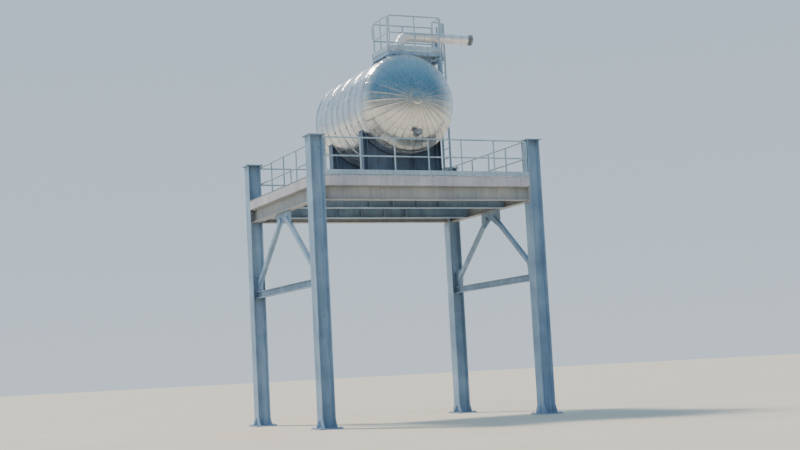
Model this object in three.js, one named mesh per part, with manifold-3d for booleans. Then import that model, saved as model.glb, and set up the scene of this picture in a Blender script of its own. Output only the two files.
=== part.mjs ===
// A horizontal gas drum with dished ends, clad in aluminium sheet, on two saddles.
// It stands on one railed bay of steelwork, and carries a small access platform and a lagged
// pipe bend on top. Its manway is in the rear head.
// Millimetres, +Z up. The origin is on the ground in the middle of the four columns,
// the drum lies along Y, and its front head looks towards -Y.
import * as THREE from "three";
import { mergeVertices } from "three/addons/utils/BufferGeometryUtils.js";
import Module from "manifold-3d";

const wasm = await Module();
wasm.setup();

// Driving dimensions of the stand
const bayWidth = 7000;
const bayDepth = 5600;
const deckTop = 7100;
const deckBuildUp = 300;
const girderTop = deckTop - deckBuildUp;
const columnSize = 400;
const columnHead = deckTop + 1150;
const beamDepth = 400;
const beamWidth = 250;
const edgeReach = columnSize / 2;

// Driving dimensions of the drum, whose middle lies a little behind the middle of the bay
const drumRadius = 1500;
const wall = 120;
const tangentLength = 3800;
const headDepth = 750;
const axisHeight = 9500;
const drumY = 250;
const saddleY = 1250;
const roundSides = 48;

// Driving dimensions of the access platform, in the drum's frame, and of the railings
const platformTop = axisHeight + drumRadius + 150;
const platformLeft = -500;
const platformRight = 1300;
const platformFront = -1850;
const platformRear = -600;
const landingRight = 1620;
const landingFront = platformRear - 700;
const gratingThick = 30;
const platformChannel = 100;
const railHeight = 1100;
const railRadius = 24;
const postWidth = 44;
const postSpacing = 1150;
const closeSpacing = 560;
const postInset = 60;
const toeHeight = 150;

const seat = 0.3;

// Paint and metal
const paint = new THREE.MeshStandardMaterial({ color: 0x9fb4c4, roughness: 0.55, metalness: 0.1 });
const galvanised = new THREE.MeshStandardMaterial({ color: 0xaeb4b6, roughness: 0.5, metalness: 0.7 });
const cladding = new THREE.MeshStandardMaterial({ color: 0xc9d3d8, roughness: 0.3, metalness: 0.9 });
const flangeSteel = new THREE.MeshStandardMaterial({ color: 0x8a929a, roughness: 0.5, metalness: 0.6 });

// A closed three.js geometry as a solid that can be joined and cut.
function solid(geometry) {
  const bare = geometry.clone();
  bare.deleteAttribute("normal");
  bare.deleteAttribute("uv");
  const merged = mergeVertices(bare, 1e-3);
  const vertProperties = merged.attributes.position.array;
  const triVerts = new Uint32Array(merged.index.array);
  const made = new wasm.Manifold(new wasm.Mesh({ numProp: 3, vertProperties, triVerts }));
  if (made.volume() > 0) return made;
  for (let i = 0; i < triVerts.length; i += 3) {
    [triVerts[i + 1], triVerts[i + 2]] = [triVerts[i + 2], triVerts[i + 1]];
  }
  return new wasm.Manifold(new wasm.Mesh({ numProp: 3, vertProperties, triVerts }));
}

function join(...solids) {
  return solids.flat().reduce((all, one) => all.add(one));
}

// A solid as a named mesh of the part, put in its place and turned round Z.
function piece(name, shape, material, [x, y, z] = [0, 0, 0], turn = 0) {
  const made = shape.getMesh();
  const geometry = new THREE.BufferGeometry();
  geometry.setAttribute("position", new THREE.BufferAttribute(new Float32Array(made.vertProperties), 3));
  geometry.setIndex(new THREE.BufferAttribute(new Uint32Array(made.triVerts), 1));
  geometry.computeVertexNormals();
  const mesh = new THREE.Mesh(geometry, material);
  mesh.name = name;
  mesh.position.set(x, y, z);
  mesh.rotation.z = turn;
  return mesh;
}

// A block between two corners.
function block(x0, x1, y0, y1, z0, z1) {
  const geometry = new THREE.BoxGeometry(x1 - x0, y1 - y0, z1 - z0);
  return solid(geometry.translate((x0 + x1) / 2, (y0 + y1) / 2, (z0 + z1) / 2));
}

// Turns a geometry made along +Y so that it runs from one point to another.
function between(geometry, from, to) {
  const way = new THREE.Vector3().subVectors(to, from);
  const turn = new THREE.Quaternion().setFromUnitVectors(new THREE.Vector3(0, 1, 0), way.clone().normalize());
  const middle = new THREE.Vector3().addVectors(from, to).multiplyScalar(0.5);
  return geometry.applyQuaternion(turn).translate(middle.x, middle.y, middle.z);
}

function point(x, y, z) {
  return new THREE.Vector3(x, y, z);
}

// A round rod between two points.
function rod(from, to, radius, sides = 6) {
  return solid(between(new THREE.CylinderGeometry(radius, radius, from.distanceTo(to), sides), from, to));
}

// A square bar between two points that lie in one plane of constant X.
function squareBar(from, to, width) {
  return solid(between(new THREE.BoxGeometry(width, from.distanceTo(to), width), from, to));
}

// A plate of any outline, given as [along, height] pairs, in the plane square to X or to Y.
function plate(outline, thick, facing) {
  const shape = new THREE.Shape(outline.map(([u, v]) => new THREE.Vector2(u, v)));
  const geometry = new THREE.ExtrudeGeometry(shape, { depth: thick, bevelEnabled: false });
  geometry.translate(0, 0, -thick / 2).rotateX(Math.PI / 2);
  if (facing === "x") geometry.rotateZ(Math.PI / 2);
  return solid(geometry);
}

// A turned body round Z, from [radius, height] pairs that start and end on the axis.
function turned(profile, sides) {
  const geometry = new THREE.LatheGeometry(profile.map(([r, h]) => new THREE.Vector2(r, h)), sides);
  return solid(geometry.rotateX(Math.PI / 2));
}

// A disc or short cylinder standing on Z.
function disc(radius, z0, z1) {
  return turned([[0, z0], [radius, z0], [radius, z1], [0, z1]], nozzleSides);
}

// A path of straight runs and bends through listed points, for pipes.
class PipePath extends THREE.Curve {
  constructor(points) {
    super();
    this.points = points;
  }
  getPoint(t, target = new THREE.Vector3()) {
    const place = t * (this.points.length - 1);
    const i = Math.min(Math.floor(place), this.points.length - 2);
    return target.lerpVectors(this.points[i], this.points[i + 1], place - i);
  }
  getPointAt(u, target) {
    return this.getPoint(u, target);
  }
  getTangentAt(u) {
    const i = Math.round(u * (this.points.length - 1));
    const before = this.points[Math.max(i - 1, 0)];
    const after = this.points[Math.min(i + 1, this.points.length - 1)];
    return new THREE.Vector3().subVectors(after, before).normalize();
  }
}

// A round pipe along a path.
function pipe(points, radius, sides) {
  const section = new THREE.Shape();
  for (let i = 0; i < sides; i += 1) {
    const angle = (2 * Math.PI * i) / sides;
    const where = [radius * Math.cos(angle), radius * Math.sin(angle)];
    if (i === 0) section.moveTo(...where);
    else section.lineTo(...where);
  }
  const extrudePath = new PipePath(points);
  return solid(new THREE.ExtrudeGeometry(section, { steps: points.length - 1, extrudePath }));
}

// Points of a quarter bend in the XZ plane that turns from +Z to +X.
function quarterBend(start, radius, steps) {
  const points = [];
  for (let i = 0; i <= steps; i += 1) {
    const angle = (Math.PI / 2) * (i / steps);
    const x = start.x + radius * (1 - Math.cos(angle));
    points.push(point(x, start.y, start.z + radius * Math.sin(angle)));
  }
  return points;
}

// Rolled sections: an I outline extruded along X, Y or Z, centred across, from 0 to its length
function rolled(length, depth, width, web, flange, along) {
  const [h, w, t] = [depth / 2, width / 2, web / 2];
  const inner = h - flange;
  const half = [[-w, -h], [w, -h], [w, -inner], [t, -inner], [t, inner], [w, inner], [w, h], [-w, h]];
  const outline = [...half, [-w, inner], [-t, inner], [-t, -inner], [-w, -inner]];
  const shape = new THREE.Shape(outline.map(([u, v]) => new THREE.Vector2(u, v)));
  const geometry = new THREE.ExtrudeGeometry(shape, { depth: length, bevelEnabled: false });
  if (along === "z") geometry.rotateZ(Math.PI / 2);
  if (along === "y") geometry.rotateX(-Math.PI / 2);
  if (along === "x") geometry.rotateX(-Math.PI / 2).rotateZ(-Math.PI / 2);
  return solid(geometry);
}

const beamWeb = 14;
const beamFlange = 22;
const columnWeb = 20;
const columnFlange = 24;
const endPlate = { thick: 20, width: 300, wider: 20, lower: 60, short: 2 };

// Columns: H sections with a stiffened base plate, and a splice plate where the frame goes on up
const basePlate = 700;
const basePlateThick = 40;
const splicePlate = 520;
const splicePlateThick = 25;

const baseRib = { reach: 130, height: 260, thick: 16 };

// A pair of ribs on the two sides of the column at x, y
function baseRibs(facing, x, y) {
  const start = columnSize / 2;
  const { reach, height, thick } = baseRib;
  const foot = basePlateThick;
  const outline = [[start, foot], [start + reach, foot], [start, foot + height]];
  const mirrored = outline.map(([u, v]) => [-u, v]).reverse();
  return [outline, mirrored].map((sides) => plate(sides, thick, facing).translate(x, y, 0));
}

function column() {
  const shaft = rolled(columnHead - splicePlateThick, columnSize, columnSize, columnWeb, columnFlange, "z");
  const half = basePlate / 2;
  const foot = block(-half, half, -half, half, 0, basePlateThick);
  const top = splicePlate / 2;
  const head = block(-top, top, -top, top, columnHead - splicePlateThick, columnHead);
  const flangeX = (columnSize - columnFlange) / 2;
  const ribs = [baseRibs("y", 0, 0), baseRibs("x", flangeX, 0), baseRibs("x", -flangeX, 0)];
  return join(shaft, foot, head, ribs.flat());
}

// A beam from -length/2 to length/2 along X or Y, with a plate on each end that reaches lower than the beam
function platedBeam(length, section, plateWidth, lower, along) {
  const bare = length - endPlate.thick;
  const { depth, width, web, flange } = section;
  const beam = rolled(bare, depth, width, web, flange, along);
  const middle = along === "x" ? beam.translate(-bare / 2, 0, 0) : beam.translate(0, -bare / 2, 0);
  const [wide, bottom, top] = [plateWidth / 2, -depth / 2 - lower, depth / 2 - endPlate.short];
  const ends = [-1, 1].map((side) => {
    const [near, far] = [side * (length / 2 - endPlate.thick), (side * length) / 2];
    const [from, to] = [Math.min(near, far), Math.max(near, far)];
    if (along === "x") return block(from, to, -wide, wide, bottom, top);
    return block(-wide, wide, from, to, bottom, top);
  });
  return join(middle, ends);
}

// Girders across the bay, bolted to the column flanges
const girderSection = { depth: beamDepth, width: beamWidth, web: beamWeb, flange: beamFlange };

function crossGirder() {
  return platedBeam(bayWidth - columnSize, girderSection, endPlate.width, endPlate.lower, "x");
}

// Girders along the sides, bolted to the column webs between the flanges
function sideGirder() {
  return platedBeam(bayDepth - columnWeb, girderSection, beamWidth + endPlate.wider, -endPlate.short, "y");
}

// Beams under the saddles, coped at their ends to fit between the side girders' flanges
const saddleBeamWidth = 300;
const beamRib = 16;
const saddleRibX = [-1150, -400, 400, 1150];

function saddleBeam() {
  const length = bayWidth - beamWeb;
  const reach = length / 2;
  const beam = rolled(length, beamDepth, saddleBeamWidth, beamWeb, beamFlange, "x").translate(-reach, 0, 0);
  const cope = { length: beamWidth / 2 + 10, depth: beamFlange + 8 };
  const [half, width] = [beamDepth / 2, saddleBeamWidth / 2];
  const copes = [-1, 1].flatMap((side) => {
    const [x0, x1] = side < 0 ? [-reach - 10, cope.length - reach] : [reach - cope.length, reach + 10];
    return [
      block(x0, x1, -width - 10, width + 10, half - cope.depth, half + 10),
      block(x0, x1, -width - 10, width + 10, -half - 10, cope.depth - half),
    ];
  });
  const stiffeners = saddleRibX.map((x) => {
    const inner = half - beamFlange / 2;
    return block(x - beamRib / 2, x + beamRib / 2, -width, width, -inner, inner);
  });
  return join(beam, stiffeners).subtract(join(copes));
}

// Struts between the side columns at half height, and diagonals that rise from them to the side girder
const strutTop = 4200;
const strutSize = 200;
const braceSize = 120;
const gussetThick = 16;
const footGap = 430;
const topGap = 300;

const strutSection = { depth: strutSize, width: strutSize, web: 10, flange: 14 };

function sideStrut() {
  const plateWidth = strutSize + endPlate.wider;
  return platedBeam(bayDepth - columnWeb, strutSection, plateWidth, endPlate.lower, "y");
}

function brace() {
  const foot = point(0, columnWeb / 2, strutTop);
  const top = point(0, bayDepth / 2, girderTop - beamDepth);
  const way = new THREE.Vector3().subVectors(top, foot).normalize();
  const low = foot.clone().addScaledVector(way, footGap);
  const high = top.clone().addScaledVector(way, -topGap);
  const footOutline = [[0, 0], [560, 0], [620, 380], [400, 560], [0, 480]];
  const topOutline = [[0, 0], [0, -260], [-430, -500], [-640, -300], [-620, 0]];
  const footGusset = plate(footOutline.map(([u, v]) => [u + foot.y, v + foot.z]), gussetThick, "x");
  const topGusset = plate(topOutline.map(([u, v]) => [u + top.y, v + top.z]), gussetThick, "x");
  return join(squareBar(low, high, braceSize), footGusset, topGusset);
}

// Deck panels: an open floor on a channel frame, notched round the columns and open round the saddles
const panelGap = 5;
const channel = 60;
const floorThick = 40;
const columnClearance = 10;
const bearerSpacing = 1230;
const gridBar = 70;
const gridRow = 550;
const smallestOpening = 0.25;
const saddleBase = { length: 2600, width: 300 };

function deckVolume(inset, side, z0, z1) {
  const [near, far] = [drumY + (side * panelGap) / 2, side * (bayDepth / 2 + edgeReach)];
  const [y0, y1] = side < 0 ? [far, near] : [near, far];
  const edgeX = bayWidth / 2 + edgeReach - inset;
  const field = block(-edgeX, edgeX, y0 + inset, y1 - inset, z0, z1);
  const notch = columnSize / 2 + columnClearance + inset;
  const columnY = (side * bayDepth) / 2;
  const holes = [-bayWidth / 2, bayWidth / 2].map((x) => {
    return block(x - notch, x + notch, columnY - notch, columnY + notch, z0 - 1, z1 + 1);
  });
  const supportY = drumY + side * saddleY;
  const [sx, sy] = [saddleBase.length / 2 + 50 + inset, saddleBase.width / 2 + 25 + inset];
  const opening = block(-sx, sx, supportY - sy, supportY + sy, z0 - 1, z1 + 1);
  return field.subtract(join(holes, opening));
}

// The grid of openings in a panel's floor, two to each bearer bay, without those that would be mere slots
function deckOpenings(side, z0, z1) {
  const field = deckVolume(channel + 10, side, z0, z1);
  const { min, max } = field.boundingBox();
  const [stepX, rows] = [bearerSpacing / 2, Math.round((max[1] - min[1]) / gridRow)];
  const stepY = (max[1] - min[1] + gridBar) / rows;
  const openings = [];
  for (let i = -6; i < 6; i += 1) {
    for (let j = 0; j < rows; j += 1) {
      const [x, y] = [i * stepX + gridBar / 2, min[1] + j * stepY];
      const cell = block(x, x + stepX - gridBar, y, y + stepY - gridBar, z0, z1);
      const opening = cell.intersect(field);
      if (opening.volume() > smallestOpening * cell.volume()) openings.push(opening);
    }
  }
  return openings;
}

function deckPanel(side) {
  const under = deckBuildUp - floorThick;
  const openings = join(deckOpenings(side, under - 1, deckBuildUp + 1));
  const floor = deckVolume(0, side, under, deckBuildUp).subtract(openings);
  const frame = deckVolume(0, side, 0, under).subtract(deckVolume(channel, side, -1, under + 1));
  const bearerX = [-2, -1, 0, 1, 2].map((i) => i * bearerSpacing);
  const bearers = bearerX.map((x) => block(x - channel / 2, x + channel / 2, -bayDepth, bayDepth, 0, under));
  const fitted = join(bearers).intersect(deckVolume(0, side, 0, under));
  return join(floor, frame, fitted);
}

// Railing along +X from 0 to its length: posts and a top rail, and low down a middle rail and a toe plate
function postPlaces(length, spacing) {
  const span = length - 2 * postInset;
  const bays = Math.max(1, Math.ceil(span / spacing));
  return Array.from({ length: bays + 1 }, (_, i) => postInset + (span * i) / bays);
}

function railing(length, { posts = postPlaces(length, postSpacing), low = true } = {}) {
  const top = railHeight - railRadius;
  const middle = railHeight / 2;
  const half = postWidth / 2;
  const parts = posts.map((x) => block(x - half, x + half, -half, half, 0, top));
  parts.push(rod(point(0, 0, top), point(length, 0, top), railRadius));
  if (low) {
    parts.push(rod(point(0, 0, middle), point(length, 0, middle), railRadius * 0.75));
    parts.push(block(0, length, -half - 6, 4 - half, 0, toeHeight));
  }
  return join(parts);
}

// Ladder standing on Z with its rungs along X, centred on X
const ladderWidth = 450;
const stringer = { wide: 65, thick: 12 };
const rungStep = 300;
const rungRadius = 12;
const ladderGap = 60;
const armHeight = 60;

function ladder(height) {
  const half = ladderWidth / 2;
  const [w, t] = [stringer.wide / 2, stringer.thick];
  const parts = [block(-half - t, -half, -w, w, 0, height), block(half, half + t, -w, w, 0, height)];
  for (let z = rungStep; z <= height; z += rungStep) {
    parts.push(rod(point(-half - 2, 0, z), point(half + 2, 0, z), rungRadius, 5));
  }
  return parts;
}

// The drum: a tube along Y and two dished heads, each with the steel wall and its insulation in one thickness
function drumCylinder(radius, reach) {
  const profile = [[0, -reach], [radius, -reach], [radius, reach], [0, reach]];
  const outline = profile.map(([r, h]) => new THREE.Vector2(r, h));
  return solid(new THREE.LatheGeometry(outline, roundSides));
}

function upright(radius, y, z0, z1) {
  return disc(radius, z0, z1).translate(0, y, 0);
}

const outlet = { y: -1570, neck: 110, flange: 170, flangeThick: 30, faceAbove: 210 };
const drain = { neck: 84, flange: 142, flangeThick: 26, faceBelow: 250 };
const gauge = { z: -1000, neck: 45, flange: 100, flangeThick: 24, reach: 760 };
const manway = { z: -500, neck: 280, bore: 255, flange: 370, flangeThick: 50, coverThick: 45, reach: 885 };
const nozzleSides = 24;
const holeFit = 0.5;

function tankShell() {
  const tube = drumCylinder(drumRadius, tangentLength / 2)
    .subtract(drumCylinder(drumRadius - wall, tangentLength / 2 + 10));
  const up = drumRadius + 50;
  const holes = [
    upright(outlet.neck + holeFit, outlet.y, 0, up),
    upright(drain.neck + holeFit, 0, -up, 0),
  ];
  return tube.subtract(join(holes));
}

function ellipse(radius, depth, steps) {
  const points = [];
  for (let i = 0; i <= steps; i += 1) {
    const angle = (Math.PI / 2) * (i / steps);
    points.push([radius * Math.cos(angle), depth * Math.sin(angle)]);
  }
  return points;
}

function dishedHead() {
  const outside = ellipse(drumRadius, headDepth, 9);
  const inside = ellipse(drumRadius - wall, headDepth - wall, 4).reverse();
  inside[0][0] = 0;
  outside[outside.length - 1][0] = 0;
  const profile = [...inside, ...outside].map(([r, h]) => new THREE.Vector2(r, h));
  return solid(new THREE.LatheGeometry(profile, roundSides));
}

// Nozzles on the heads are made like the heads, looking towards +Y from the seam
function headHole({ z, neck }) {
  return rod(point(0, 0, z), point(0, 2 * headDepth, z), neck + holeFit, nozzleSides);
}

function headNozzle({ z, neck, flange, flangeThick, reach }) {
  const stem = rod(point(0, 0, z), point(0, reach - flangeThick / 2, z), neck, nozzleSides);
  const collar = rod(point(0, reach - flangeThick, z), point(0, reach, z), flange, nozzleSides);
  const inside = solid(new THREE.SphereGeometry(1, roundSides, nozzleSides))
    .scale([drumRadius - wall, headDepth - wall, drumRadius - wall]);
  return join(stem, collar).subtract(inside);
}

// Saddles: base plate, web, ribs and the curved plate that the drum lies on
const saddle = { plateThick: 25, web: 20, rib: 20, cradle: 16, halfAngle: 60 };

function saddleSupport() {
  const floor = girderTop - axisHeight;
  const [length, width] = [saddleBase.length / 2, saddleBase.width / 2];
  const outer = drumRadius + seat + saddle.cradle;
  const reach = Math.sin(THREE.MathUtils.degToRad(saddle.halfAngle)) * outer;
  const lift = -Math.cos(THREE.MathUtils.degToRad(saddle.halfAngle)) * outer;
  const base = block(-length, length, -width, width, floor, floor + saddle.plateThick);
  const web = block(-length, length, -saddle.web / 2, saddle.web / 2, floor, lift);
  const ribs = [...saddleRibX, -length + 10, length - 10].map((x) => {
    return block(x - saddle.rib / 2, x + saddle.rib / 2, -width, width, floor, lift);
  });
  const ring = drumCylinder(outer, width + 20);
  const lower = block(-reach, reach, -width - 30, width + 30, floor, lift);
  const cradle = ring.intersect(lower);
  return join(base, web, ribs, cradle).subtract(drumCylinder(drumRadius + seat, 400));
}

// A nozzle that stands up from the drum: neck and flange, with its foot at the inner face of the wall
function outletNozzle() {
  const { neck, flange, flangeThick, faceAbove } = outlet;
  const face = drumRadius + faceAbove;
  const made = join(disc(neck, 0, face - flangeThick / 2), disc(flange, face - flangeThick, face));
  return insideWall(made, outlet.y);
}

function insideWall(shape, y) {
  return shape.subtract(drumCylinder(drumRadius - wall, tangentLength / 2).translate(0, -y, 0));
}

const gasket = 3;

// The pipe on the outlet: a flanged and lagged elbow, and a level run that ends in a blind flange
const bend = { lagged: 150, radius: 305, straight: 20, lineAbove: 650, runTo: 2300, endFlange: 60 };
const laggingSides = 16;

function outletElbow() {
  const foot = drumRadius + outlet.faceAbove;
  const start = point(0, 0, drumRadius + bend.lineAbove - bend.radius);
  const low = point(0, 0, foot + outlet.flangeThick + 30);
  const last = point(bend.radius + bend.straight, 0, drumRadius + bend.lineAbove);
  const lagging = pipe([low, ...quarterBend(start, bend.radius, 6), last], bend.lagged, laggingSides);
  const bare = disc(outlet.neck, foot, foot + 120);
  const flange = disc(outlet.flange, foot, foot + outlet.flangeThick);
  return join(lagging, bare, flange);
}

function outletRun() {
  const line = drumRadius + bend.lineAbove;
  const end = bend.runTo + 100;
  const first = bend.radius + bend.straight + seat;
  const lagging = pipe([point(first, 0, line), point(bend.runTo, 0, line)], bend.lagged, laggingSides);
  const stub = rod(point(bend.runTo - 50, 0, line), point(end + 10, 0, line), outlet.neck, nozzleSides);
  const blind = rod(point(end, 0, line), point(end + bend.endFlange, 0, line), outlet.flange, nozzleSides);
  return join(lagging, stub, blind);
}

function drainNozzle() {
  const face = -drumRadius - drain.faceBelow;
  const [thick, radius] = [drain.flangeThick, drain.flange];
  const neck = disc(drain.neck, face + thick / 2, -drumRadius / 2);
  const flange = disc(radius, face, face + thick);
  const blind = disc(radius, face - gasket - thick, face - gasket);
  const middle = disc(drain.neck + 20, face - gasket - 1, face + 1);
  return insideWall(join(neck, flange, blind, middle), 0);
}

// The small nozzle low on the front head, with its blind flange
function gaugeNozzle() {
  const { z, neck, flange, flangeThick, reach } = gauge;
  const blindFrom = reach + gasket;
  const middle = rod(point(0, reach - 1, z), point(0, blindFrom + 1, z), neck + 20, nozzleSides);
  const blind = rod(point(0, blindFrom, z), point(0, blindFrom + flangeThick, z), flange, nozzleSides);
  return join(headNozzle(gauge), middle, blind);
}

// The manway in the rear head, and its cover with a lifting handle
const handle = { reach: 60, spread: 90, bar: 20, below: 220 };

function manwayNeck() {
  const { z, bore, reach } = manway;
  return headNozzle(manway).subtract(rod(point(0, 0, z), point(0, reach + 10, z), bore, nozzleSides));
}

function manwayCover() {
  const { z, flange, coverThick, reach } = manway;
  const face = reach + coverThick;
  const half = handle.bar / 2;
  const [low, high] = [z - handle.below - half, z - handle.below + half];
  const lid = rod(point(0, reach, z), point(0, face, z), flange, nozzleSides);
  const lugs = [-handle.spread, handle.spread].map((x) => {
    return block(x - half, x + half, face - half, face + handle.reach, low, high);
  });
  const [x, y] = [handle.spread + half, face + handle.reach];
  return join(lid, lugs, block(-x, x, y - handle.bar, y, low, high));
}

// Access platform: channel frame on legs that stand on the drum, in the drum's frame
const floorTop = platformTop - axisHeight;

const bar = 50;
const leg = { width: 80, inset: 10 };
const legFoot = { width: 180, depth: 100, height: 35 };
const bearerX = 465;
const pipeRest = { x: platformRight - 60, width: 80, gap: 4 };

function channelFrame(x0, x1, y0, y1, z0, z1) {
  const inner = block(x0 + bar, x1 - bar, y0 + bar, y1 - bar, z0 - 1, z1 + 1);
  return block(x0, x1, y0, y1, z0, z1).subtract(inner);
}

// A leg and its foot pad, which both reach down into the drum until it is cut away
function platformLeg(x, y, high) {
  const [half, wide, deep] = [leg.width / 2, legFoot.width / 2, legFoot.depth / 2];
  const surface = Math.sqrt(drumRadius ** 2 - x ** 2);
  const post = block(x - half, x + half, y - half, y + half, 0, high);
  return join(post, block(x - wide, x + wide, y - deep, y + deep, 0, surface + legFoot.height));
}

function platformFrame() {
  const high = floorTop - gratingThick;
  const low = high - platformChannel;
  const frame = channelFrame(platformLeft, platformRight, platformFront, platformRear, low, high);
  const landing = channelFrame(platformRight - bar, landingRight, landingFront, platformRear, low, high);
  const tieY = landingFront + bar / 2;
  const tie = block(platformLeft + 10, platformRight - 10, tieY - bar / 2, tieY + bar / 2, low, high);
  const [front, rear] = [platformFront + 10, platformRear - 10];
  const bearer = block(bearerX - bar / 2, bearerX + bar / 2, front, rear, low, high);
  const inset = leg.inset + leg.width / 2;
  const legs = [platformFront + inset, platformRear - inset].flatMap((y) => {
    return [platformLeft + inset, platformRight - inset].map((x) => platformLeg(x, y, high));
  });
  const half = pipeRest.width / 2;
  const restTop = drumRadius + bend.lineAbove - bend.lagged - pipeRest.gap;
  const [x0, x1] = [pipeRest.x - half, pipeRest.x + half];
  const rest = block(x0, x1, outlet.y - half, outlet.y + half, low, restTop);
  const made = join(frame, landing, tie, bearer, legs, rest);
  return made.subtract(drumCylinder(drumRadius + seat, tangentLength));
}

function platformGrating() {
  const [z0, z1] = [floorTop - gratingThick, floorTop];
  const floor = block(platformLeft, platformRight, platformFront, platformRear, z0, z1);
  const landing = block(platformRight - 1, landingRight, landingFront, platformRear, z0, z1);
  const reach = pipeRest.width / 2 + 10;
  const [x0, x1] = [pipeRest.x - reach, pipeRest.x + reach];
  const holes = [
    upright(outlet.flange + 40, outlet.y, z0 - 1, z1 + 1),
    block(x0, x1, outlet.y - reach, outlet.y + reach, z0 - 1, z1 + 1),
  ];
  return join(floor, landing).subtract(join(holes));
}

const railInset = 30;
const cornerGap = 35;

// The right railing turns at the landing, and its first part, over the pipe, has only a top rail
function rightRail() {
  const turnAt = landingFront - platformFront - 2 * railInset;
  const straight = railing(turnAt, { posts: [postWidth / 2 + 3, turnAt], low: false }).rotate([0, 0, 90]);
  const length = landingRight - platformRight + railInset;
  return join(straight, railing(length, { posts: [length - railInset] }).translate(0, turnAt, 0));
}

// The middle of the ladder in plan
const ladderX = landingRight + ladderGap + stringer.wide / 2;
const ladderY = (landingFront + platformRear) / 2;

// The ladder from the deck to the landing, held off the drum's side, in the drum's frame
function tankLadder() {
  const foot = deckTop - axisHeight;
  const rails = join(ladder(platformTop - deckTop)).rotate([0, 0, 90]).translate(ladderX, ladderY, foot);
  const half = ladderWidth / 2;
  const middle = floorTop - gratingThick - platformChannel / 2;
  const inner = landingRight + ladderGap + 5;
  const arms = [ladderY - half - stringer.thick, ladderY + half].flatMap((y) => [
    block(0, inner, y, y + stringer.thick, -armHeight / 2, armHeight / 2),
    block(landingRight, inner, y, y + stringer.thick, middle - armHeight / 2, middle + armHeight / 2),
  ]);
  return join(rails, arms).subtract(drumCylinder(drumRadius + seat, tangentLength));
}

// A flat bar that carries a stringer on above the landing, to hold while stepping off, centred on its foot
function ladderHandrail() {
  const [w, t] = [stringer.wide / 2, stringer.thick / 2];
  return block(-w, w, -t, t, seat, railHeight);
}

const part = new THREE.Group();

// The stand
const stand = new THREE.Group();
part.add(stand);
const half = Math.PI;
const quarter = Math.PI / 2;
const beamMiddle = girderTop - beamDepth / 2;
for (const [row, sign] of [["front", -1], ["rear", 1]]) {
  const y = (sign * bayDepth) / 2;
  for (const [side, x] of [["left", -bayWidth / 2], ["right", bayWidth / 2]]) {
    stand.add(piece(`column_${side}_${row}`, column(), paint, [x, y, 0]));
    stand.add(piece(`brace_${side}_${row}`, brace(), paint, [x, y, 0], sign < 0 ? 0 : half));
  }
  stand.add(piece(`girder_${row}`, crossGirder(), paint, [0, y, beamMiddle]));
  stand.add(piece(`saddle_beam_${row}`, saddleBeam(), paint, [0, drumY + sign * saddleY, beamMiddle]));
  stand.add(piece(`deck_panel_${row}`, deckPanel(sign), galvanised, [0, 0, girderTop]));
}
for (const [side, x] of [["left", -bayWidth / 2], ["right", bayWidth / 2]]) {
  stand.add(piece(`side_girder_${side}`, sideGirder(), paint, [x, 0, beamMiddle]));
  stand.add(piece(`side_strut_${side}`, sideStrut(), paint, [x, 0, strutTop - strutSize / 2]));
}

// Railings of the deck: the end ones between the columns, the side ones just inside them
const endRailLength = bayWidth - columnSize - 2 * columnClearance;
const endRailY = bayDepth / 2 + edgeReach - 50;
const sideRailLength = 2 * (endRailY - 60);
const sideRailX = bayWidth / 2 - columnSize / 2 - 60;
const [endRail, sideRail] = [railing(endRailLength), railing(sideRailLength)];
const [endX, sideY] = [endRailLength / 2, sideRailLength / 2];
stand.add(
  piece("deck_rail_front", endRail, galvanised, [-endX, -endRailY, deckTop]),
  piece("deck_rail_rear", endRail, galvanised, [endX, endRailY, deckTop], half),
  piece("deck_rail_left", sideRail, galvanised, [-sideRailX, sideY, deckTop], -quarter),
  piece("deck_rail_right", sideRail, galvanised, [sideRailX, -sideY, deckTop], quarter),
);

// The drum and what is on it
const drum = new THREE.Group();
drum.position.set(0, drumY, axisHeight);
part.add(drum);
const [frontSeam, rearSeam] = [[0, -tangentLength / 2, 0], [0, tangentLength / 2, 0]];
drum.add(
  piece("tank_shell", tankShell(), cladding),
  piece("head_front", dishedHead().subtract(headHole(gauge)), cladding, frontSeam, half),
  piece("head_rear", dishedHead().subtract(headHole(manway)), cladding, rearSeam),
  piece("saddle_front", saddleSupport(), paint, [0, -saddleY, 0]),
  piece("saddle_rear", saddleSupport(), paint, [0, saddleY, 0]),
  piece("manway_neck", manwayNeck(), flangeSteel, rearSeam),
  piece("manway_cover", manwayCover(), flangeSteel, rearSeam),
  piece("gauge_nozzle", gaugeNozzle(), flangeSteel, frontSeam, half),
  piece("drain_nozzle", drainNozzle(), flangeSteel),
  piece("outlet_nozzle", outletNozzle(), flangeSteel, [0, outlet.y, 0]),
  piece("outlet_elbow", outletElbow(), cladding, [0, outlet.y, 0]),
  piece("outlet_run", outletRun(), cladding, [0, outlet.y, 0]),
);

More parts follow.
